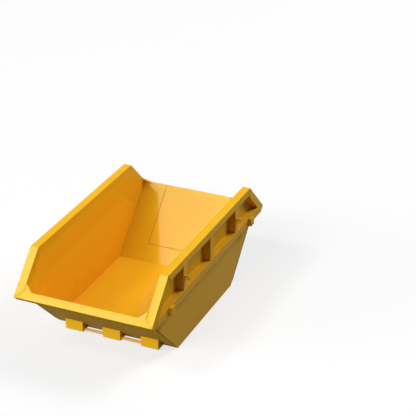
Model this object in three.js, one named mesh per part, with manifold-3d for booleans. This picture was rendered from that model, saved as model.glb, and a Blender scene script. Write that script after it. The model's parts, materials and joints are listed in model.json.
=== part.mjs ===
import * as THREE from 'three';
import { mergeVertices } from 'three/addons/utils/BufferGeometryUtils.js';
import Module from 'manifold-3d';

const wasm = await Module();
wasm.setup();

// An open builders skip with a drop down door, in millimetres.
// +X points to the tipping bar end, +Y to the right hand side, +Z up.

// Fits shared by all the pieces
const seam = 0.3;
const overrun = 2000;
const roundSides = 32;

// Overall form: the end plates and the planes of the mouth above them lie at 45 degrees
const slopeDegrees = 45;
const rimHeight = 1200;
const rimHalfLength = 1200;
const floorHalfLength = 795.1;
const bodyHalfWidth = 792;
const plateThickness = 4;

// Hollow rails round the mouth
const railDepth = 94;
const railWidth = 100;
const railWall = 3;
const railOverhang = 83;
const endRailWidth = 92;
const endRailOverhang = 65;
const gussetLeg = 100;
const gussetThickness = 20;

// Waist rail, stiffeners, lifting studs and stacking blocks along each side
const waistRailDrop = 398;
const waistRailHeight = 94;
const waistRailProud = 10;
const stiffenerPitch = 762;
const stiffenerWidth = 90;
const stiffenerWall = 6;
const stiffenerProud = 5;
const stiffenerLap = 10;
const studDrop = 230;
const studNeckRadius = 17;
const studNeckLength = 41;
const studFlareLength = 26;
const studFlareRadius = 31;
const studHeadRadius = 36;
const studHeadThickness = 14;
const blockInset = 384;
const blockWidth = 90;
const blockHeight = 100;
const blockProud = 40;
const blockWall = 6;

// Floor and the channel runners under it
const floorTop = 50;
const floorThickness = 4;
const runnerWidth = 75;
const runnerWall = 6;
const runnerPitch = 600;

// Tipping lugs and bar
const lugWidth = 230;
const lugPitch = 497.5;
const lugReach = 150;
const lugFoot = 14;
const lugWall = 8;
const barRadius = 16.5;
const barSetback = 40;
const barHeight = 34;

// Drop down door
const doorHalfOpening = 463;
const doorGap = 5;
const doorSill = 302.6;
const stripWidth = 60;
const stripThickness = 8;
const stripOverlap = 25;
const stripHeadroom = 6;
const sillStripRise = 30;
const sillStripHingeGap = 50;
const drainRadius = 8;

// Door hinges
const hingePitch = 300;
const hingeDrop = 10;
const hingeStandOff = 28;
const eyeRadius = 20;
const pinRadius = 12.5;
const pinHeadRadius = 18;
const pinHeadThickness = 6;
const runningGap = 0.5;
const sideGap = 1;
const strapWidth = 40;
const strapLength = 220;
const strapThickness = 10;
const strapHeel = 12;
const strapShoulder = 45;
const earThickness = 10;
const earToe = 10;
const bracketReach = 62;
const bracketNotch = 13;
const bracketMargin = 10;
const bracketThickness = 10;

// Door latches, which rest leaning away from the door
const latchHeadroom = 41;
const latchSpread = 535;
const latchWidth = 45;
const latchThickness = 12;
const latchReach = 150;
const latchPinRadius = 10;
const latchHeadRadius = 18;
const latchHeadThickness = 10;
const latchRestDegrees = 120;
const latchStopRadius = 8;
const latchStopReach = 60;
const latchPadThickness = 11.4;
const latchPadInner = 34;
const latchPadOuter = 76;
const latchPadDrop = 34;
const latchPadRise = 54;
const pegRadius = 8;
const pegLength = 45;
const keeperWidth = 36;
const keeperGrip = 18;
const keeperShelf = 12;
const keeperLip = 10;
const keeperBackRise = 20;
const keeperLipRise = 15;

// Sizes that follow from the ones above
const slope = Math.sin(THREE.MathUtils.degToRad(slopeDegrees));
const railOuterY = bodyHalfWidth + railOverhang;
const railInnerY = railOuterY - railWidth;
const sideInnerY = bodyHalfWidth - plateThickness;
const railUnderside = rimHeight - railDepth;
const plateRun = (rimHalfLength + rimHeight - floorHalfLength) * slope;
const plateTop = plateRun - railDepth;
const rimN = (rimHalfLength - floorHalfLength - rimHeight) * slope;
const railMitre = railDepth * Math.tan(THREE.MathUtils.degToRad(slopeDegrees / 2));
const tippingRailInner = endRailOverhang - endRailWidth;
const doorRailInner = -plateThickness;
const floorUnderside = floorTop - floorThickness;
const waistRailTop = rimHeight - waistRailDrop;
const studHeight = rimHeight - studDrop;
const waistRailBottom = waistRailTop - waistRailHeight;
const waistRailMiddle = waistRailTop - waistRailHeight / 2;
const waistRailOuterY = railOuterY + waistRailProud;
const stiffenerOuterY = railOuterY + stiffenerProud;
const doorHalfLeaf = doorHalfOpening - doorGap;
const doorBottom = doorSill + doorGap;
const hingeS = doorSill - hingeDrop;
const latchHeight = plateTop - latchReach - latchHeadroom;
const latchBack = seam + latchPadThickness + seam;
const latchFront = latchBack + latchThickness;

// An outline from a list of points
function outline(points) {
  return new THREE.Shape(points.map(([across, up]) => new THREE.Vector2(across, up)));
}

// A closed mesh turned into a solid that can be cut and joined
function solid(geometry) {
  const bare = geometry.clone();
  bare.deleteAttribute('normal');
  bare.deleteAttribute('uv');
  const merged = mergeVertices(bare);
  return new wasm.Manifold(new wasm.Mesh({
    numProp: 3,
    vertProperties: new Float32Array(merged.attributes.position.array),
    triVerts: new Uint32Array(merged.index.array),
  }));
}

function pushed(shape, low, high) {
  const geometry = new THREE.ExtrudeGeometry(shape, {
    depth: high - low,
    bevelEnabled: false,
    curveSegments: roundSides,
  });
  geometry.translate(0, 0, low);
  return geometry;
}

// Outlines read as (x, z) and (x, y), pushed along the third axis
function alongY(shape, low, high) {
  const geometry = pushed(shape, -high, -low);
  geometry.rotateX(Math.PI / 2);
  return solid(geometry);
}

function alongZ(shape, low, high) {
  return solid(pushed(shape, low, high));
}

function box([xLow, xHigh], [yLow, yHigh], [zLow, zHigh]) {
  const geometry = new THREE.BoxGeometry(xHigh - xLow, yHigh - yLow, zHigh - zLow);
  geometry.translate((xLow + xHigh) / 2, (yLow + yHigh) / 2, (zLow + zHigh) / 2);
  return solid(geometry);
}

// Round bars along x, y and z
function rod(radius, length) {
  return new THREE.CylinderGeometry(radius, radius, length, roundSides);
}

function rodX(radius, [low, high], y, z) {
  const geometry = rod(radius, high - low);
  geometry.rotateZ(Math.PI / 2);
  geometry.translate((low + high) / 2, y, z);
  return solid(geometry);
}

function rodY(radius, [low, high], x, z) {
  const geometry = rod(radius, high - low);
  geometry.translate(x, (low + high) / 2, z);
  return solid(geometry);
}

function coneY(radiusLow, radiusHigh, [low, high], x, z) {
  const geometry = new THREE.CylinderGeometry(radiusHigh, radiusLow, high - low, roundSides);
  geometry.translate(x, (low + high) / 2, z);
  return solid(geometry);
}

function rodZ(radius, [low, high], x, y) {
  const geometry = rod(radius, high - low);
  geometry.rotateX(Math.PI / 2);
  geometry.translate(x, y, (low + high) / 2);
  return solid(geometry);
}

// Pieces on a sloping end are drawn upright, x out from the end plate and z up along it,
// then tipped onto the tipping end or the door end
function onTippingEnd(piece) {
  return piece.rotate([0, slopeDegrees, 0]).translate([floorHalfLength, 0, 0]);
}

function onDoorEnd(piece) {
  return onTippingEnd(piece).mirror([1, 0, 0]);
}

function acrossMiddle(piece) {
  return piece.mirror([0, 1, 0]);
}

// Where a face standing out from the end plate lies at a given height
function endFaceX(height, standOff) {
  return floorHalfLength + height + 2 * standOff * slope;
}

// Where the underside of the sloping rails lies at a given height
function railFaceX(height, clearance) {
  return floorHalfLength + 2 * (plateTop - clearance) * slope - height;
}

// Paint and steel
const yellowPaint = { color: 0xf5b81f, roughness: 0.3, metalness: 0 };
const barPaint = { color: 0xeba53c, roughness: 0.35, metalness: 0 };
const plainSteel = { color: 0x8a8c8e, roughness: 0.45, metalness: 0.9 };

const skip = new THREE.Group();
skip.name = 'builders_skip';

function addPiece(name, piece, finish) {
  const mesh = piece.getMesh();
  const geometry = new THREE.BufferGeometry();
  geometry.setAttribute('position', new THREE.BufferAttribute(mesh.vertProperties, mesh.numProp));
  geometry.setIndex(new THREE.BufferAttribute(mesh.triVerts, 1));
  const faceted = geometry.toNonIndexed();
  faceted.computeVertexNormals();
  const node = new THREE.Mesh(faceted, new THREE.MeshStandardMaterial(finish));
  node.name = name;
  skip.add(node);
}

// The same piece on both sides
function addPair(name, rightPiece, finish) {
  addPiece(`${name}_right`, rightPiece, finish);
  addPiece(`${name}_left`, acrossMiddle(rightPiece), finish);
}

// Flat floor plate, its ends cut to lie against the end plates
function floorPlate() {
  const inset = -plateThickness - seam;
  const low = endFaceX(floorUnderside, inset);
  const high = endFaceX(floorTop, inset);
  const halfWidth = sideInnerY - seam;
  const profile = outline([
    [-low, floorUnderside],
    [low, floorUnderside],
    [high, floorTop],
    [-high, floorTop],
  ]);
  return alongY(profile, -halfWidth, halfWidth);
}

// Channel runner under the floor, its web on the ground
function floorRunner(middle) {
  const inset = -plateThickness - seam;
  const top = floorUnderside - seam;
  const low = endFaceX(0, inset);
  const high = endFaceX(top, inset);
  const halfWidth = runnerWidth / 2;
  const halfChannel = halfWidth - runnerWall;
  const profile = outline([[-low, 0], [low, 0], [high, top], [-high, top]]);
  const bar = alongY(profile, middle - halfWidth, middle + halfWidth);
  const channel = box(
    [-overrun, overrun],
    [middle - halfChannel, middle + halfChannel],
    [runnerWall, overrun],
  );
  return bar.subtract(channel);
}

// Tapered side plate reaching from the ground to the underside of the rails
function sidePlate() {
  const topHeight = railUnderside - seam;
  const topX = railFaceX(topHeight, seam);
  const flareX = floorHalfLength + (plateTop - seam) * slope;
  const flareHeight = (plateTop - seam) * slope;
  const profile = outline([
    [-floorHalfLength, 0],
    [floorHalfLength, 0],
    [flareX, flareHeight],
    [topX, topHeight],
    [-topX, topHeight],
    [-flareX, flareHeight],
  ]);
  return alongY(profile, sideInnerY, bodyHalfWidth);
}

// Sloping end plate between the side plates, cut level at the ground
function endPlate() {
  const halfWidth = sideInnerY - seam;
  const profile = outline([
    [-plateThickness, -plateThickness],
    [0, 0],
    [0, plateTop - seam],
    [-plateThickness, plateTop - seam],
  ]);
  return alongY(profile, -halfWidth, halfWidth);
}

function doorEndPlate() {
  const opening = box(
    [-overrun, overrun],
    [-doorHalfOpening, doorHalfOpening],
    [doorSill, overrun],
  );
  return endPlate().subtract(opening);
}

// Level top rail, mitred at both ends to meet the sloping rails
function topRail() {
  const halfUnderside = rimHalfLength - railMitre;
  const profile = outline([
    [-rimHalfLength, rimHeight],
    [rimHalfLength, rimHeight],
    [halfUnderside, railUnderside],
    [-halfUnderside, railUnderside],
  ]);
  const hollow = box(
    [-overrun, overrun],
    [railInnerY + railWall, railOuterY - railWall],
    [railUnderside + railWall, rimHeight - railWall],
  );
  return alongY(profile, railInnerY, railOuterY).subtract(hollow);
}

// Sloping side rail, mitred to the top rail and to the end rail
function slopeRail(endRailInner) {
  const profile = outline([
    [rimN + seam, plateRun],
    [endRailOverhang, plateRun],
    [endRailOverhang, plateTop],
    [rimN + railMitre + seam, plateTop],
  ]);
  const cornerMitre = outline([
    [-overrun, railInnerY],
    [endRailInner - seam, railInnerY],
    [endRailOverhang - seam, railOuterY],
    [-overrun, railOuterY],
  ]);
  const hollow = box(
    [-overrun, overrun],
    [railInnerY + railWall, railOuterY - railWall],
    [plateTop + railWall, plateRun - railWall],
  );
  return alongY(profile, railInnerY, railOuterY)
    .intersect(alongZ(cornerMitre, 0, overrun))
    .subtract(hollow);
}

// Rail across an end of the mouth, mitred at both corners
function endRailBar(endRailInner) {
  const plan = outline([
    [endRailInner, -railInnerY],
    [endRailOverhang, -railOuterY],
    [endRailOverhang, railOuterY],
    [endRailInner, railInnerY],
  ]);
  return alongZ(plan, plateTop, plateRun);
}

function endRailHollow(endRailInner, yLow, yHigh) {
  return box(
    [endRailInner + railWall, endRailOverhang - railWall],
    [yLow, yHigh],
    [plateTop + railWall, plateRun - railWall],
  );
}

function tippingEndRail() {
  return endRailBar(tippingRailInner)
    .subtract(endRailHollow(tippingRailInner, -overrun, overrun));
}

// Short end rail beside the door opening, capped where the door closes against it
function doorEndRail() {
  const besideDoor = box([-overrun, overrun], [doorHalfOpening, overrun], [0, overrun]);
  return endRailBar(doorRailInner)
    .intersect(besideDoor)
    .subtract(endRailHollow(doorRailInner, doorHalfOpening + railWall, overrun));
}

// Flat triangular gusset in each corner of the mouth
function cornerGusset(endRailInner) {
  const cornerX = endRailInner - seam;
  const cornerY = railInnerY - seam;
  const plan = outline([
    [cornerX, cornerY],
    [cornerX - gussetLeg, cornerY],
    [cornerX, cornerY - gussetLeg],
  ]);
  return alongZ(plan, plateRun - gussetThickness, plateRun);
}

// Waist rail along the side, its ends cut to lie against the sloping rails
function waistRail() {
  const low = railFaceX(waistRailBottom, seam);
  const high = railFaceX(waistRailTop, seam);
  const innerY = bodyHalfWidth + seam;
  const profile = outline([
    [-low, waistRailBottom],
    [low, waistRailBottom],
    [high, waistRailTop],
    [-high, waistRailTop],
  ]);
  const hollow = box(
    [-overrun, overrun],
    [innerY + railWall, waistRailOuterY - railWall],
    [waistRailBottom + railWall, waistRailTop - railWall],
  );
  return alongY(profile, innerY, waistRailOuterY).subtract(hollow);
}

// Channel stiffener from the waist rail up under the top rail, its web lapping the rail
function stiffener(middle) {
  const innerY = bodyHalfWidth + seam;
  const webY = railOuterY + seam;
  const halfWidth = stiffenerWidth / 2;
  const halfChannel = halfWidth - stiffenerWall;
  const flangeTop = railUnderside - seam;
  const blank = box(
    [middle - halfWidth, middle + halfWidth],
    [innerY, stiffenerOuterY],
    [waistRailTop + seam, railUnderside + stiffenerLap],
  );
  const channel = box([middle - halfChannel, middle + halfChannel], [0, webY], [0, overrun]);
  const underRail = box([-overrun, overrun], [0, webY], [flangeTop, overrun]);
  return blank.subtract(channel).subtract(underRail);
}

// Headed stud that the lifting chain hooks over, flaring out towards its head
function liftingStud(middle) {
  const neckStart = stiffenerOuterY + seam;
  const neckEnd = stiffenerOuterY + studNeckLength;
  const headEnd = neckEnd + studHeadThickness;
  const flare = [neckEnd - studFlareLength, neckEnd];
  return rodY(studNeckRadius, [neckStart, neckEnd], middle, studHeight)
    .add(coneY(studNeckRadius, studFlareRadius, flare, middle, studHeight))
    .add(rodY(studHeadRadius, [neckEnd, headEnd], middle, studHeight));
}

// Box shaped stacking block on the waist rail, open at the back
function stackingBlock(middle) {
  const halfWidth = blockWidth / 2;
  const halfHeight = blockHeight / 2;
  const outerY = waistRailOuterY + blockProud;
  const blank = box(
    [middle - halfWidth, middle + halfWidth],
    [waistRailOuterY + seam, outerY],
    [waistRailMiddle - halfHeight, waistRailMiddle + halfHeight],
  );
  const hollow = box(
    [middle - halfWidth + blockWall, middle + halfWidth - blockWall],
    [0, outerY - blockWall],
    [waistRailMiddle - halfHeight + blockWall, waistRailMiddle + halfHeight - blockWall],
  );
  return blank.subtract(hollow);
}

// Tipping lug: an upright front plate and two cheeks, bored for the bar
function tippingLug(middle) {
  const frontX = floorHalfLength + lugReach;
  const halfWidth = lugWidth / 2;
  const halfHollow = halfWidth - lugWall;
  const topHeight = frontX - endFaceX(0, seam);
  const profile = outline([
    [endFaceX(lugFoot, seam), lugFoot],
    [frontX, lugFoot],
    [frontX, topHeight],
  ]);
  const hollow = box(
    [0, frontX - lugWall],
    [middle - halfHollow, middle + halfHollow],
    [0, overrun],
  );
  const bore = rodY(barRadius + seam, [-overrun, overrun], frontX - barSetback, barHeight);
  return alongY(profile, middle - halfWidth, middle + halfWidth).subtract(hollow).subtract(bore);
}

function tippingBar() {
  const halfLength = lugPitch + lugWidth / 2;
  return rodY(
    barRadius,
    [-halfLength, halfLength],
    floorHalfLength + lugReach - barSetback,
    barHeight,
  );
}

// Door leaf, in the plane of the end plate
function doorPlate() {
  return box([-plateThickness, 0], [-doorHalfLeaf, doorHalfLeaf], [doorBottom, plateTop - seam]);
}

// Middle length of the end rail, carried by the door and drained underneath
function doorRail() {
  const halfHollow = doorHalfLeaf - railWall;
  const bar = box(
    [doorRailInner, endRailOverhang],
    [-doorHalfLeaf, doorHalfLeaf],
    [plateTop, plateRun],
  );
  const drain = rodZ(drainRadius, [0, plateTop + railDepth / 2], endRailOverhang / 2, 0);
  return bar.subtract(endRailHollow(doorRailInner, -halfHollow, halfHollow)).subtract(drain);
}

// Cover strip over the upright gap beside the door
function doorStrip() {
  const outerY = doorHalfOpening + stripOverlap;
  return box(
    [seam, seam + stripThickness],
    [outerY - stripWidth, outerY],
    [doorBottom, plateTop - stripHeadroom],
  );
}

// Cover strip over the level gap under the door, in three lengths between the hinges
function sillStrip(yLow, yHigh) {
  return box([seam, seam + stripThickness], [yLow, yHigh], [hingeS, doorBottom + sillStripRise]);
}

// Hinge bracket under the door: a base plate and two ears bored for the pin
function hingeBracket() {
  const baseHalfWidth = strapWidth / 2 + sideGap + earThickness + bracketMargin;
  const earInner = strapWidth / 2 + sideGap;
  const earOuter = earInner + earThickness;
  const foot = seam;
  const base = box(
    [foot, foot + bracketThickness],
    [hingePitch - baseHalfWidth, hingePitch + baseHalfWidth],
    [hingeS - bracketReach, hingeS - bracketNotch],
  );
  const earShape = outline([
    [foot, hingeS - bracketReach],
    [foot, hingeS + earToe],
    [hingeStandOff, hingeS + eyeRadius],
    [hingeStandOff, hingeS - eyeRadius],
    [foot + bracketThickness, hingeS - bracketReach],
  ]);
  const ear = (low, high) => alongY(earShape, low, high)
    .add(rodY(eyeRadius, [low, high], hingeStandOff, hingeS));
  const bore = rodY(pinRadius + seam, [0, overrun], hingeStandOff, hingeS);
  return base
    .add(ear(hingePitch - earOuter, hingePitch - earInner))
    .add(ear(hingePitch + earInner, hingePitch + earOuter))
    .subtract(bore);
}

// Hinge pin with a head outside each ear
function hingePin() {
  const headInner = strapWidth / 2 + sideGap + earThickness + seam;
  const headOuter = headInner + pinHeadThickness;
  const head = (low, high) => rodY(pinHeadRadius, [low, high], hingeStandOff, hingeS);
  return rodY(pinRadius, [hingePitch - headOuter, hingePitch + headOuter], hingeStandOff, hingeS)
    .add(head(hingePitch - headOuter, hingePitch - headInner))
    .add(head(hingePitch + headInner, hingePitch + headOuter));
}

// Hinge strap on the door, its eye turning on the pin
function hingeStrap() {
  const sides = [hingePitch - strapWidth / 2, hingePitch + strapWidth / 2];
  const face = seam + strapThickness;
  const leaf = outline([
    [hingeStandOff - eyeRadius, hingeS],
    [seam, hingeS + strapHeel],
    [seam, hingeS + strapLength],
    [face, hingeS + strapLength],
    [face, hingeS + strapShoulder],
    [hingeStandOff, hingeS + eyeRadius],
    [hingeStandOff, hingeS],
  ]);
  return alongY(leaf, ...sides)
    .add(rodY(eyeRadius, sides, hingeStandOff, hingeS))
    .subtract(rodY(pinRadius + runningGap, [0, overrun], hingeStandOff, hingeS));
}

// Latch pivot on a pad, with the stop peg that the released arm leans on
function latchBracket() {
  const padFace = seam + latchPadThickness;
  const pad = box(
    [seam, padFace],
    [latchSpread - latchPadInner, latchSpread + latchPadOuter],
    [latchHeight - latchPadDrop, latchHeight + latchPadRise],
  );
  const headBack = latchFront + runningGap;
  const headFront = headBack + latchHeadThickness;
  const pin = rodX(latchPinRadius, [seam, headFront], latchSpread, latchHeight);
  const head = rodX(latchHeadRadius, [headBack, headFront], latchSpread, latchHeight);
  const lean = THREE.MathUtils.degToRad(latchRestDegrees);
  const stopOffset = latchWidth / 2 + seam + latchStopRadius;
  const stopY = latchSpread - latchStopReach * Math.cos(lean) + stopOffset * Math.sin(lean);
  const stopZ = latchHeight + latchStopReach * Math.sin(lean) + stopOffset * Math.cos(lean);
  const stop = rodX(latchStopRadius, [seam, headFront], stopY, stopZ);
  return pad.add(pin).add(head).add(stop);
}

// Swing arm of the latch with its handle peg, drawn across the door then leaned back
function latchArm() {
  const halfWidth = latchWidth / 2;
  const depth = [latchBack, latchFront];
  return box(depth, [-latchReach, 0], [-halfWidth, halfWidth])
    .add(rodX(halfWidth, depth, 0, 0))
    .subtract(rodX(latchPinRadius + runningGap, [0, overrun], 0, 0))
    .add(rodX(pegRadius, [latchBack, latchFront + pegLength], -latchReach / 2, 0))
    .rotate([-latchRestDegrees, 0, 0])
    .translate([0, latchSpread, latchHeight]);
}

// Keeper on the door that the swung arm drops into
function latchKeeper() {
  const gripY = latchSpread - latchReach + keeperGrip;
  const sides = [gripY - keeperWidth / 2, gripY + keeperWidth / 2];
  const shelfTop = latchHeight - latchWidth / 2 - sideGap;
  const shelfBottom = shelfTop - keeperShelf;
  const lipBack = latchFront + sideGap;
  const lipFront = lipBack + keeperLip;
  const padFace = seam + latchPadThickness;
  const hook = outline([
    [seam, shelfBottom],
    [lipFront, shelfBottom],
    [lipFront, latchHeight + keeperLipRise],
    [lipBack, latchHeight + keeperLipRise],
    [lipBack, shelfTop],
    [padFace, shelfTop],
    [padFace, latchHeight + keeperBackRise],
    [seam, latchHeight + keeperBackRise],
  ]);
  return alongY(hook, ...sides);
}

// Body
addPiece('floor_plate', floorPlate(), yellowPaint);
for (const [place, middle] of [['left', -runnerPitch], ['centre', 0], ['right', runnerPitch]]) {
  addPiece(`floor_runner_${place}`, floorRunner(middle), yellowPaint);
}
addPair('side_plate', sidePlate(), yellowPaint);
addPiece('tipping_end_plate', onTippingEnd(endPlate()), yellowPaint);
addPiece('door_end_plate', onDoorEnd(doorEndPlate()), yellowPaint);

// Rails and gussets round the mouth
addPair('top_rail', topRail(), yellowPaint);
addPair('tipping_slope_rail', onTippingEnd(slopeRail(tippingRailInner)), yellowPaint);
addPair('door_slope_rail', onDoorEnd(slopeRail(doorRailInner)), yellowPaint);
addPiece('tipping_end_rail', onTippingEnd(tippingEndRail()), yellowPaint);
addPair('door_end_rail', onDoorEnd(doorEndRail()), yellowPaint);
addPair('tipping_gusset', onTippingEnd(cornerGusset(tippingRailInner)), yellowPaint);
addPair('door_gusset', onDoorEnd(cornerGusset(doorRailInner)), yellowPaint);

// Fittings along the sides
addPair('waist_rail', waistRail(), yellowPaint);
const stiffenerPlaces = [['door', -stiffenerPitch], ['middle', 0], ['tipping', stiffenerPitch]];
for (const [place, middle] of stiffenerPlaces) {
  addPair(`stiffener_${place}`, stiffener(middle), yellowPaint);
}
const blockX = railFaceX(waistRailBottom, seam) - blockInset;
for (const [place, end] of [['door', -1], ['tipping', 1]]) {
  addPair(`lifting_stud_${place}`, liftingStud(end * stiffenerPitch), yellowPaint);
  addPair(`stacking_block_${place}`, stackingBlock(end * blockX), yellowPaint);
}

// Tipping gear
for (const [place, middle] of [['left', -lugPitch], ['centre', 0], ['right', lugPitch]]) {
  addPiece(`tipping_lug_${place}`, tippingLug(middle), yellowPaint);
}
addPiece('tipping_bar', tippingBar(), barPaint);

// Door, its hinges and its latches
addPiece('door_plate', onDoorEnd(doorPlate()), yellowPaint);
addPiece('door_rail', onDoorEnd(doorRail()), yellowPaint);
addPair('door_strip', onDoorEnd(doorStrip()), yellowPaint);
const sillHingeInner = hingePitch - sillStripHingeGap;
const sillHingeOuter = hingePitch + sillStripHingeGap;
const sillOuter = doorHalfOpening + stripOverlap - stripWidth - seam;
addPiece('sill_strip_centre', onDoorEnd(sillStrip(-sillHingeInner, sillHingeInner)), yellowPaint);
addPair('sill_strip', onDoorEnd(sillStrip(sillHingeOuter, sillOuter)), yellowPaint);
addPair('hinge_bracket', onDoorEnd(hingeBracket()), yellowPaint);
addPair('hinge_pin', onDoorEnd(hingePin()), plainSteel);
addPair('hinge_strap', onDoorEnd(hingeStrap()), yellowPaint);
addPair('latch_bracket', onDoorEnd(latchBracket()), yellowPaint);
addPair('latch_arm', onDoorEnd(latchArm()), yellowPaint);
addPair('latch_keeper', onDoorEnd(latchKeeper()), yellowPaint);

export default skip;
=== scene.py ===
import json
import math

import bmesh
import bpy
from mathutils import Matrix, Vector


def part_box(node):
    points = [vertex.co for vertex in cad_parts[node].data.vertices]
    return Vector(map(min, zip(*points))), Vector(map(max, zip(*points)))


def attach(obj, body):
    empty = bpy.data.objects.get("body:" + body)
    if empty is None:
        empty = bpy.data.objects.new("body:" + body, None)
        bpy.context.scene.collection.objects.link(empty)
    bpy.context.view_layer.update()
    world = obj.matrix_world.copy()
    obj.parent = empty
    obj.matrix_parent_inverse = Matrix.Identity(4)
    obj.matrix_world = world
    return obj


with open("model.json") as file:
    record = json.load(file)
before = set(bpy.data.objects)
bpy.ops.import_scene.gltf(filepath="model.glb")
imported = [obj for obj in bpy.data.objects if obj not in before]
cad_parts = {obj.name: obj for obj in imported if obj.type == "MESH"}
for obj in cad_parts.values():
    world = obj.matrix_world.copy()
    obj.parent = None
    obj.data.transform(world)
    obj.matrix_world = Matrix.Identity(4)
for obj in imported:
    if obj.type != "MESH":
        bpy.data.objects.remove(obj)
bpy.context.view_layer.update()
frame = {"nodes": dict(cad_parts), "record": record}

# Names of the frame's bodies and of the record's material slots
SKIP = "skip"
DOOR = "door"
PAINT_SLOT = "yellow_paint"
BAR_SLOT = "bar_paint"
STEEL_SLOT = "hinge_steel"

# Colours, all linear
WHITE = (1.0, 1.0, 1.0, 1.0)
YELLOW = (0.90, 0.545, 0.018, 1.0)
YELLOW_LIGHT = (0.92, 0.565, 0.021, 1.0)
YELLOW_DARK = (0.86, 0.51, 0.015, 1.0)
YELLOW_EDGE = (0.95, 0.57, 0.04, 1.0)
WARM = (0.93, 0.51, 0.018, 1.0)
WARM_LIGHT = (0.95, 0.53, 0.021, 1.0)
WARM_DARK = (0.88, 0.47, 0.015, 1.0)
# Side walls: inside painted darker low and lighter high, painted shade and light; outside a little darker,
# painted shade
WALL_INSIDE_SHADED = (0.82, 0.40, 0.014, 1.0)
WALL_INSIDE_LIT = (0.97, 0.555, 0.020, 1.0)
WALL_OUTSIDE_SHADED = (0.865, 0.468, 0.020, 1.0)
JOINT = (0.86, 0.42, 0.032, 1.0)
BEAD_YELLOW = (0.86, 0.42, 0.02, 1.0)
BEAD_DARK = (0.72, 0.30, 0.015, 1.0)
# Painted shade for the gap round the door and the door end's rail mitres
SEAM_SHADE = (0.78, 0.32, 0.045, 1.0)
SEAM_SHADE_DEEP = (0.66, 0.26, 0.030, 1.0)
# Dark painted shade for the outside corners and the rail and waist joints
CORNER_SHADE = (0.20, 0.09, 0.01, 1.0)
CORNER_SHADE_DEEP = (0.12, 0.05, 0.01, 1.0)
# Painted shade on faces that look down
DOWNWARD_SHADE = (0.10, 0.07, 0.03, 1.0)
BAR_YELLOW = (0.86, 0.40, 0.05, 1.0)
BAR_LIGHT = (0.90, 0.46, 0.09, 1.0)
BAR_EDGE = (0.94, 0.55, 0.14, 1.0)
STEEL = (0.42, 0.42, 0.43, 1.0)
STEEL_LIGHT = (0.60, 0.60, 0.61, 1.0)
STEEL_EDGE = (0.75, 0.75, 0.76, 1.0)

# Wear and painted highlight that all the surfaces share: patches of colour, a rippled skin and lighter
# edges painted as a highlight
PATCH_SCALE = 1.6
PATCH_RANGE = (0.35, 0.65)
DRIFT_SCALE = 7.0
DRIFT_RANGE = (0.55, 0.8)
DRIFT_SHARE = 0.35
SMOOTH_RANGE = (0.2, 0.8)
SMOOTH_SHARES = (0.85, 1.2)
COARSE_DETAIL = 3.0
RIPPLE_SCALE = 60.0
RIPPLE_DETAIL = 4.0
RIPPLE_STRENGTH = 0.015
RIPPLE_HEIGHT = 0.001
EDGE_RADIUS = 0.004
EDGE_SAMPLES = 4
EDGE_RANGE = (0.985, 0.90)
EDGE_HIGHLIGHT_SHARE = 0.3

# Face slopes, 1 for up and -1 for down, between which painted shade sets in: dark on faces that look down,
# and a darker warm tint with more roughness on faces that don't look up
DOWNWARD_SHADE_RANGE = (-0.3, -0.65)
SIDE_SHADE_RANGE = (0.5, 0.1)

# Side walls' painted shade, in metres: the height over which the inside grows lighter from the floor up,
# and where the darker outside begins
WALL_TOP = 1.1
WALL_SKIN = 0.0015
WALL_BLEND = 0.001

# Camera, solved from the photograph's edges
CAMERA_AT = (14.014, 6.975, 9.319)
CAMERA_AIM = (-1.566, 0.1411, 0.6)
CAMERA_LENS = 127.36
SENSOR_WIDTH = 36.0

# Lamps: azimuth, elevation, level on a surface that faces the lamp, width, height
LAMP_DISTANCE = 60.0
LAMP_AIM = (0.0, 0.0, 0.6)
LAMPS = {
    "key_light": (-38.5, 51.6, 0.26, 8.4, 13.4),
    "front_light": (-10.0, 32.0, 0.48, 24.5, 24.5),
    "low_left_light": (-48.0, 14.0, 0.49, 24.5, 24.5),
    "low_back_light": (180.0, 18.0, 0.22, 24.5, 24.5),
    "back_right_light": (135.0, 45.0, 0.53, 24.5, 24.5),
}

# Floor and backdrop: white where they show, darker for the light that they throw back
FLOOR_SIZE = 60.0
FLOOR_DROP = 0.001
FLOOR_BOUNCE = (0.12, 0.12, 0.12, 1.0)
FLOOR_GLOW_SHARE = 0.68
WORLD_LEVEL = 0.032
BACKDROP_LEVEL = 1.0

# Sizes of the welds and of the strips of painted shade in the door's joint, in metres
BEAD_RADIUS = 0.005
RING_RADIUS = 0.004
GUSSET_BEAD_RADIUS = 0.007
STIFFENER_BEAD_RADIUS = 0.009
BEAD_SIDES = 10
BEAD_TAPER_LENGTH = 0.010
BEAD_TAPER_SHARE = 0.4
BEAD_KEEP_IN = 0.012
RING_STEPS = 24
STUD_NECK = 0.017
FILLER_RUN = 0.260
FILLER_STEPS = 12
FILLER_SKIN = 0.0004
SEAM_LAP = 0.006
SEAM_FILL = 0.0046
SEAM_SKIN = 0.0012
SHARP_ANGLE = math.radians(35.0)

# Places taken from the solids
rail_low, rail_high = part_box("top_rail_right")
plate_low, plate_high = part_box("side_plate_right")
waist_low, waist_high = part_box("waist_rail_right")
gusset_low, gusset_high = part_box("tipping_gusset_right")
end_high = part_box("tipping_end_plate")[1]
end_rail_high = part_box("tipping_end_rail")[1]
floor_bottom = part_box("floor_plate")[0][2]
rim_height = rail_high[2]
rail_bottom = rail_low[2]
rail_depth = rim_height - rail_bottom
rail_outer = rail_high[1]
rail_inner = rail_low[1]
plate_outer = plate_high[1]
plate_inner = plate_low[1]
plate_thickness = plate_outer - plate_inner
waist_top = waist_high[2]
waist_bottom = waist_low[2]
gusset_leg = gusset_high[1] - gusset_low[1]

# An end plate's outer face leaves the ground line at end_foot, sloping out at 45 degrees
half_root = math.sqrt(0.5)
end_foot = end_high[0] - end_high[2] + plate_thickness * half_root
rim_run = (rail_high[0] + rim_height - end_foot) * half_root
plate_run = (end_high[0] - end_foot) / half_root

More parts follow.
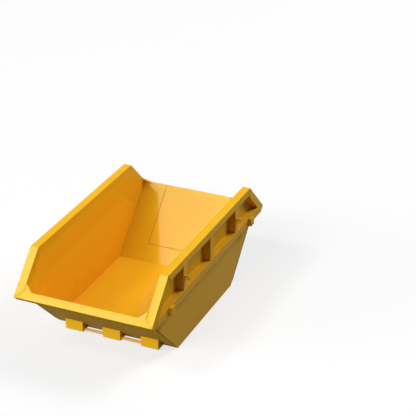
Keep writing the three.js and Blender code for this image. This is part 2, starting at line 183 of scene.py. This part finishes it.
# Edges of the end rails, measured out of the end plate's face
end_rail_out = (end_rail_high[0] - end_foot) / half_root - rim_run
end_rail_in = rim_run - end_rail_high[2] / half_root

SIDES = (("right", 1), ("left", -1))
ENDS = (("tipping", 1), ("door", -1))


# Nodes that the materials are made of
def new_material(name):
    material = bpy.data.materials.new(name)
    material.use_nodes = True
    tree = material.node_tree
    tree.nodes.clear()
    return material, tree


def add_node(tree, kind, **inputs):
    """A node with values on its inputs, whose names have underscores for spaces."""
    node = tree.nodes.new(kind)
    for key, value in inputs.items():
        node.inputs[key.replace("_", " ")].default_value = value
    return node


def mix_colour(tree, factor, first, second):
    """A mix of two colours, each a fixed one or another node's output."""
    node = tree.nodes.new("ShaderNodeMix")
    node.data_type = "RGBA"
    tree.links.new(factor, node.inputs[0])
    for socket, value in ((node.inputs[6], first), (node.inputs[7], second)):
        if isinstance(value, tuple):
            socket.default_value = value
        else:
            tree.links.new(value, socket)
    return node.outputs[2]


def map_range(tree, value, span, low=0.0, high=1.0):
    """A value that runs from low to high as the given one crosses its span, held at both ends."""
    node = add_node(tree, "ShaderNodeMapRange", From_Min=span[0], From_Max=span[1], To_Min=low, To_Max=high)
    tree.links.new(value, node.inputs["Value"])
    return node.outputs["Result"]


def maths(tree, operation, *values):
    node = tree.nodes.new("ShaderNodeMath")
    node.operation = operation
    for socket, value in zip(node.inputs, values):
        tree.links.new(value, socket)
    return node


def noise(tree, place, scale, detail=COARSE_DETAIL):
    node = add_node(tree, "ShaderNodeTexNoise", Scale=scale, Detail=detail)
    tree.links.new(place, node.inputs["Vector"])
    return node.outputs["Fac"]


def split_vector(tree, vector):
    node = tree.nodes.new("ShaderNodeSeparateXYZ")
    tree.links.new(vector, node.inputs["Vector"])
    return node.outputs


def wall_colour(tree, place):
    """The inside of a side wall, darker towards the floor and lighter at the top as painted shade and
    light, and its outside a little darker as painted shade.
    """
    where = split_vector(tree, place)
    height = map_range(tree, where["Z"], (0.0, WALL_TOP))
    inside = mix_colour(tree, height, WALL_INSIDE_SHADED, WALL_INSIDE_LIT)
    skin = plate_inner + WALL_SKIN
    across = maths(tree, "ABSOLUTE", where["Y"]).outputs["Value"]
    outside = map_range(tree, across, (skin, skin + WALL_BLEND))
    return mix_colour(tree, outside, inside, WALL_OUTSIDE_SHADED)


def wear_and_shade_surface(name, shades, roughness, specular, metallic=0.0, downward_shade=0.0, side_shade_and_roughness=0.0):
    """
    A painted or bare metal with patches of colour, a rippled skin and lighter edges as a painted highlight.
    The shades are its base, its light and dark patches and its edges. Downward shade is the share
    of dark painted shade on faces that look down, and side shade and roughness the roughness added to faces
    that don't look up, which then also get a darker warm tint as painted shade.
    """
    material, tree = new_material(name)
    links = tree.links
    base, light, dark, edge = shades
    place = tree.nodes.new("ShaderNodeTexCoord").outputs["Object"]
    if callable(base):
        base = base(tree, place)
        light = base
    face = tree.nodes.new("ShaderNodeNewGeometry").outputs["True Normal"]
    slope = split_vector(tree, face)["Z"]

    patches = noise(tree, place, PATCH_SCALE)
    drift = noise(tree, place, DRIFT_SCALE)
    colour = mix_colour(tree, map_range(tree, patches, PATCH_RANGE), base, light)
    colour = mix_colour(tree, map_range(tree, drift, DRIFT_RANGE, high=DRIFT_SHARE), colour, dark)
    if side_shade_and_roughness > 0.0:
        # Painted shade: a darker warm tint on faces that don't look up
        colour = mix_colour(tree, map_range(tree, slope, SIDE_SHADE_RANGE), colour, WARM_DARK)
    # Painted shade: dark on faces that look down
    colour = mix_colour(tree, map_range(tree, slope, DOWNWARD_SHADE_RANGE, high=downward_shade), colour, DOWNWARD_SHADE)

    rounded = add_node(tree, "ShaderNodeBevel", Radius=EDGE_RADIUS)
    rounded.samples = EDGE_SAMPLES
    turn = tree.nodes.new("ShaderNodeVectorMath")
    turn.operation = "DOT_PRODUCT"
    links.new(rounded.outputs["Normal"], turn.inputs[0])
    links.new(face, turn.inputs[1])
    # Painted highlight: a lighter colour along the edges
    edge_highlight = map_range(tree, turn.outputs["Value"], EDGE_RANGE, high=EDGE_HIGHLIGHT_SHARE)
    colour = mix_colour(tree, edge_highlight, colour, edge)

    bump = add_node(tree, "ShaderNodeBump", Strength=RIPPLE_STRENGTH, Distance=RIPPLE_HEIGHT)
    links.new(noise(tree, place, RIPPLE_SCALE, RIPPLE_DETAIL), bump.inputs["Height"])
    links.new(rounded.outputs["Normal"], bump.inputs["Normal"])

    smoothest, roughest = (roughness * share for share in SMOOTH_SHARES)
    rough = map_range(tree, drift, SMOOTH_RANGE, smoothest, roughest)
    side_roughened = maths(tree, "ADD", rough, map_range(tree, slope, SIDE_SHADE_RANGE, high=side_shade_and_roughness))
    side_roughened.use_clamp = True

    shader = add_node(tree, "ShaderNodeBsdfPrincipled", Metallic=metallic, Specular_IOR_Level=specular)
    links.new(colour, shader.inputs["Base Color"])
    links.new(side_roughened.outputs["Value"], shader.inputs["Roughness"])
    links.new(bump.outputs["Normal"], shader.inputs["Normal"])
    output = tree.nodes.new("ShaderNodeOutputMaterial")
    links.new(shader.outputs["BSDF"], output.inputs["Surface"])
    return material


# Paints, painted shade for gaps and corners, and metal: base, light, dark and edge shades
yellow_shades = (YELLOW, YELLOW_LIGHT, YELLOW_DARK, YELLOW_EDGE)
warm_shades = (WARM, WARM_LIGHT, WARM_DARK, YELLOW_EDGE)
wall_shades = (wall_colour, wall_colour, WARM_DARK, YELLOW_EDGE)
joint_shades = (JOINT, JOINT, JOINT, JOINT)
bead_shades = (BEAD_YELLOW, WARM_DARK, BEAD_DARK, YELLOW_EDGE)
seam_shades = (SEAM_SHADE, SEAM_SHADE, SEAM_SHADE_DEEP, SEAM_SHADE)
corner_shades = (CORNER_SHADE, CORNER_SHADE, CORNER_SHADE_DEEP, CORNER_SHADE)
bar_shades = (BAR_YELLOW, BAR_LIGHT, BAR_YELLOW, BAR_EDGE)
steel_shades = (STEEL, STEEL_LIGHT, STEEL, STEEL_EDGE)

# The gloss and flat paints carry painted shade on faces that look down, and the gloss a darker warm tint on
# faces that don't look up
paint = wear_and_shade_surface("yellow_gloss", yellow_shades, roughness=0.06, specular=0.035, downward_shade=0.35, side_shade_and_roughness=0.8)
floor_paint = wear_and_shade_surface("floor_gloss", warm_shades, roughness=0.06, specular=0.045)
dull_paint = wear_and_shade_surface("yellow_dull", warm_shades, roughness=0.25, specular=0.017)
flat_paint = wear_and_shade_surface("yellow_flat", warm_shades, roughness=0.45, specular=0.006, downward_shade=0.42)
wall_paint = wear_and_shade_surface("wall_dull", wall_shades, roughness=0.25, specular=0.017)
joint_paint = wear_and_shade_surface("joint_dull", joint_shades, roughness=0.5, specular=0.0)
bead_paint = wear_and_shade_surface("bead_gloss", bead_shades, roughness=0.3, specular=0.055)
# Painted shade for the gap round the door and for dark corners and joints
seam_shade_paint = wear_and_shade_surface("seam_painted_shade", seam_shades, roughness=0.6, specular=0.0)
corner_shade_paint = wear_and_shade_surface("corner_painted_shade", corner_shades, roughness=0.6, specular=0.0)
bar_paint = wear_and_shade_surface("bar_gloss", bar_shades, roughness=0.2, specular=0.3)
steel = wear_and_shade_surface("turned_steel", steel_shades, roughness=0.35, specular=0.5, metallic=1.0)

# Each node's material: its slot's, unless its name or the start of its name is listed
SLOT_MATERIALS = {PAINT_SLOT: paint, BAR_SLOT: bar_paint, STEEL_SLOT: steel}
OWN_MATERIALS = {
    "floor_plate": floor_paint,
    "tipping_end_plate": flat_paint,
    "side_plate_right": wall_paint,
    "side_plate_left": wall_paint,
    "waist_rail_right": wall_paint,
    "waist_rail_left": wall_paint,
}
SCUFFED_NODES = (
    "tipping_lug",
    "top_rail",
    "door_slope_rail",
    "stiffener",
    "stacking_block",
    "lifting_stud",
)


def dress_nodes():
    slots = {part["node"]: part["material_slot"] for part in frame["record"]["subparts"]}
    for name, node in frame["nodes"].items():
        material = SLOT_MATERIALS[slots[name]]
        if name.startswith(SCUFFED_NODES):
            material = dull_paint
        node.data.materials.clear()
        node.data.materials.append(OWN_MATERIALS.get(name, material))


# Closed skins for welds, filler and painted shade
def end_point(end, out, side, up):
    """A point by its distance out of the end plate's face and up its slope."""
    x = end_foot + (out + up) * half_root
    return Vector((end * x, side, (up - out) * half_root))


def link_mesh(name, bm, material, body):
    bmesh.ops.recalc_face_normals(bm, faces=bm.faces)
    for face in bm.faces:
        face.smooth = True
    for edge in bm.edges:
        edge.smooth = edge.calc_face_angle(0.0) < SHARP_ANGLE
    mesh = bpy.data.meshes.new(name)
    bm.to_mesh(mesh)
    bm.free()
    mesh.materials.append(material)
    piece = bpy.data.objects.new(name, mesh)
    bpy.context.scene.collection.objects.link(piece)
    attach(piece, body)


def sweep(name, rings, material, body, closed=False):
    """A closed skin over rings of points, either capped at both ends or joined round."""
    bm = bmesh.new()
    rows = [[bm.verts.new(point) for point in ring] for ring in rings]
    following = rows[1:] + rows[:1] if closed else rows[1:]
    for first, second in zip(rows, following):
        for index in range(len(first)):
            after = (index + 1) % len(first)
            bm.faces.new((first[index], first[after], second[after], second[index]))
    if not closed:
        bm.faces.new(rows[0])
        bm.faces.new(list(reversed(rows[-1])))
    link_mesh(name, bm, material, body)


def circle(centre, across, over, radius):
    turns = [2 * math.pi * index / BEAD_SIDES for index in range(BEAD_SIDES)]
    return [centre + across * radius * math.cos(a) + over * radius * math.sin(a) for a in turns]


def bead(name, start, end, material=bead_paint, radius=BEAD_RADIUS):
    """A straight run of weld between two points, thinner where it starts and stops."""
    along = (end - start).normalized()
    across = along.orthogonal().normalized()
    over = along.cross(across)
    taper = along * BEAD_TAPER_LENGTH
    thin = radius * BEAD_TAPER_SHARE
    stations = [(start, thin), (start + taper, radius), (end - taper, radius), (end, thin)]
    rings = [circle(place, across, over, size) for place, size in stations]
    sweep(name, rings, material, SKIP)


def ring_bead(name, centre, ring_radius):
    """A ring of weld about an axis along Y."""
    axis = Vector((0.0, 1.0, 0.0))
    rings = []
    for index in range(RING_STEPS):
        turn = 2 * math.pi * index / RING_STEPS
        outward = Vector((math.cos(turn), 0.0, math.sin(turn)))
        rings.append(circle(centre + outward * ring_radius, outward, axis, RING_RADIUS))
    sweep(name, rings, bead_paint, SKIP, closed=True)


# Welds, joints, filler and painted shade
def weld_mouth_corners():
    """Mitres of the tipping end's rails, and the gussets' joints with the sloping rails."""
    for side_name, side in SIDES:
        outer = end_point(1, end_rail_out, side * rail_outer, rim_run)
        inner = end_point(1, end_rail_in, side * rail_inner, rim_run)
        start = outer + (inner - outer).normalized() * BEAD_KEEP_IN
        bead("mitre_weld_" + side_name, start, inner, joint_paint)
        tip = end_point(1, end_rail_in - gusset_leg, side * rail_inner, rim_run)
        bead("gusset_weld_" + side_name, inner, tip, joint_paint, GUSSET_BEAD_RADIUS)


def weld_rail_mitres():
    """Mitres between the top rails and the sloping rails, on the outer faces, as dark beads of painted
    shade.
    """
    slope_bottom = rim_run - rail_depth
    top_out = rim_run - rim_height / half_root
    low_out = slope_bottom - rail_bottom / half_root
    for side_name, side in SIDES:
        for end_name, end in ENDS:
            top = end_point(end, top_out, side * rail_outer, rim_run)
            low = end_point(end, low_out, side * rail_outer, slope_bottom)
            start = top + (low - top).normalized() * BEAD_KEEP_IN
            # Both ends' mitres are dark with painted shade
            material = corner_shade_paint if end > 0 else seam_shade_paint
            bead(f"rail_mitre_shade_{end_name}_{side_name}", start, low, material, RING_RADIUS)


def weld_waist_rails():
    """Ends of the waist rails against the sloping rails, and their top edge on the side; at the door end
    the ends are dark beads of painted shade.
    """
    run = rim_run - rail_depth
    top_out = run - waist_top / half_root
    low_out = run - waist_bottom / half_root
    reach = end_point(1, top_out, 0.0, run)[0] - BEAD_TAPER_LENGTH
    for side_name, side in SIDES:
        for end_name, end in ENDS:
            top = end_point(end, top_out, side * rail_outer, run)
            low = end_point(end, low_out, side * rail_outer, run)
            # The door end's beads are dark with painted shade
            material = bead_paint if end > 0 else corner_shade_paint
            bead(f"waist_end_weld_{end_name}_{side_name}", top, low, material)
        back = Vector((-reach, side * plate_outer, waist_top))
        front = Vector((reach, side * plate_outer, waist_top))
        bead("waist_top_weld_" + side_name, back, front)


def weld_stiffener_tops():
    """Top edges of the stiffeners, where they lap the outer faces of the top rails."""
    for name in frame["nodes"]:
        if name.startswith("stiffener"):
            low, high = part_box(name)
            face = rail_outer if high[1] > 0 else -rail_outer
            start = Vector((low[0], face, high[2]))
            end = Vector((high[0], face, high[2]))
            bead(name + "_weld", start, end, joint_paint, STIFFENER_BEAD_RADIUS)


def weld_studs():
    """Rings round the necks of the lifting studs, where they leave the stiffeners."""
    for name in frame["nodes"]:
        if name.startswith("lifting_stud"):
            low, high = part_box(name)
            face = low[1] if high[1] > 0 else high[1]
            centre = Vector(((low[0] + high[0]) / 2, face, (low[2] + high[2]) / 2))
            ring_bead(name + "_weld", centre, STUD_NECK + RING_RADIUS / 2)


def shade_end_corners():
    """Dark beads of painted shade along the joints between the side plates and the end plates, on the
    outside.
    """
    for side_name, side in SIDES:
        for end_name, end in ENDS:
            low = end_point(end, 0.0, side * plate_outer, floor_bottom / half_root)
            top = end_point(end, 0.0, side * plate_outer, plate_run - BEAD_KEEP_IN)
            bead(f"corner_painted_shade_{end_name}_{side_name}", low, top, corner_shade_paint, RING_RADIUS)


def filler_point(end, drop, y, at_corner):
    """A point a given drop below the rails, at the mitre or against the end plate."""
    up = rim_run - rail_depth - drop
    out = up - (rail_bottom - drop) / half_root if at_corner else -plate_thickness
    return end_point(end, out, y, up)


def fill_wall_ledges():
    """A blended run of filler under the rails, where they stand a little inside the wall."""
    wall = plate_inner - FILLER_SKIN
    profile = []
    for index in range(FILLER_STEPS + 1):
        share = index / FILLER_STEPS
        blend = share * share * (3 - 2 * share)
        profile.append((share * FILLER_RUN, rail_inner + (wall - rail_inner) * blend))
    profile.append((FILLER_RUN, plate_inner))
    profile.append((0.0, plate_inner))
    stations = ((-1, False), (-1, True), (1, True), (1, False))
    for side_name, side in SIDES:
        rings = [
            [filler_point(end, drop, side * y, at_corner) for drop, y in profile]
            for end, at_corner in stations
        ]
        sweep("ledge_filler_" + side_name, rings, wall_paint, SKIP)


def line_door_joint():
    """A strip of painted shade along the leaf's edges, filling most of the gap round the door."""
    low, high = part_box("door_plate")
    half = high[1]
    bottom = low[2] / half_root
    top = rim_run - SEAM_SKIN
    face = -plate_thickness
    profile = (
        (-SEAM_LAP, 0.0),
        (SEAM_SKIN - SEAM_LAP, SEAM_SKIN),
        (SEAM_FILL, SEAM_SKIN),
        (SEAM_FILL, 0.0),
    )
    for side_name, side in SIDES:
        rings = [
            [end_point(-1, face - lift, side * (half + past), up) for past, lift in profile]
            for up in (bottom - SEAM_FILL, top)
        ]
        sweep("door_joint_" + side_name, rings, seam_shade_paint, DOOR)
    rings = [
        [end_point(-1, face - lift, y, bottom - past) for past, lift in profile]
        for y in (-half, half)
    ]
    sweep("door_joint_sill", rings, seam_shade_paint, DOOR)


# Floor, backdrop, lamps and camera
def seen_rays(tree):
    """1 for the rays that show the floor and backdrop, 0 for the light that they throw back."""
    rays = tree.nodes.new("ShaderNodeLightPath").outputs
    total = rays["Is Camera Ray"]
    for kind in ("Is Glossy Ray", "Is Transmission Ray"):
        total = maths(tree, "MAXIMUM", total, rays[kind]).outputs["Value"]
    return total


def make_floor_material():
    material, tree = new_material("studio_floor")
    links = tree.links
    seen = seen_rays(tree)
    lit = tree.nodes.new("ShaderNodeBsdfDiffuse")
    links.new(mix_colour(tree, seen, FLOOR_BOUNCE, WHITE), lit.inputs["Color"])
    glow = add_node(tree, "ShaderNodeEmission", Strength=BACKDROP_LEVEL)
    blend = tree.nodes.new("ShaderNodeMixShader")
    links.new(map_range(tree, seen, (0.0, 1.0), high=FLOOR_GLOW_SHARE), blend.inputs[0])
    links.new(lit.outputs["BSDF"], blend.inputs[1])
    links.new(glow.outputs["Emission"], blend.inputs[2])
    output = tree.nodes.new("ShaderNodeOutputMaterial")
    links.new(blend.outputs["Shader"], output.inputs["Surface"])
    return material


def make_floor():
    half = FLOOR_SIZE / 2
    corners = [(-half, -half), (half, -half), (half, half), (-half, half)]
    mesh = bpy.data.meshes.new("studio_floor")
    mesh.from_pydata([(x, y, -FLOOR_DROP) for x, y in corners], [], [(0, 1, 2, 3)])
    mesh.materials.append(make_floor_material())
    floor = bpy.data.objects.new("studio_floor", mesh)
    bpy.context.scene.collection.objects.link(floor)


def make_world():
    world = bpy.data.worlds.new("studio_world")
    bpy.context.scene.world = world
    world.use_nodes = True
    tree = world.node_tree
    tree.nodes.clear()
    background = add_node(tree, "ShaderNodeBackground", Color=WHITE)
    level = map_range(tree, seen_rays(tree), (0.0, 1.0), WORLD_LEVEL, BACKDROP_LEVEL)
    tree.links.new(level, background.inputs["Strength"])
    output = tree.nodes.new("ShaderNodeOutputWorld")
    tree.links.new(background.outputs["Background"], output.inputs["Surface"])


def make_lamp(name, azimuth, elevation, level, width, height):
    """A soft box that lights a facing surface of white paint to the given level."""
    turn = math.radians(azimuth)
    rise = math.radians(elevation)
    level_run = math.cos(rise)
    direction = Vector((level_run * math.cos(turn), level_run * math.sin(turn), math.sin(rise)))
    data = bpy.data.lights.new(name, "AREA")
    data.shape = "RECTANGLE"
    data.size = width
    data.size_y = height
    data.energy = level * (math.pi * LAMP_DISTANCE) ** 2
    lamp = bpy.data.objects.new(name, data)
    lamp.location = Vector(LAMP_AIM) + direction * LAMP_DISTANCE
    lamp.rotation_euler = direction.to_track_quat("Z", "Y").to_euler()
    bpy.context.scene.collection.objects.link(lamp)


def make_camera():
    data = bpy.data.cameras.new("camera")
    data.sensor_width = SENSOR_WIDTH
    data.lens = CAMERA_LENS
    camera = bpy.data.objects.new("camera", data)
    camera.location = CAMERA_AT
    back = Vector(CAMERA_AT) - Vector(CAMERA_AIM)
    camera.rotation_euler = back.to_track_quat("Z", "Y").to_euler()
    bpy.context.scene.collection.objects.link(camera)
    bpy.context.scene.camera = camera


# Build
dress_nodes()
weld_mouth_corners()
weld_rail_mitres()
weld_waist_rails()
weld_stiffener_tops()
weld_studs()
shade_end_corners()
fill_wall_ledges()
line_door_joint()

make_floor()
make_world()
for lamp_name, settings in LAMPS.items():
    make_lamp(lamp_name, *settings)
make_camera()
bpy.context.scene.view_settings.view_transform = "Standard"
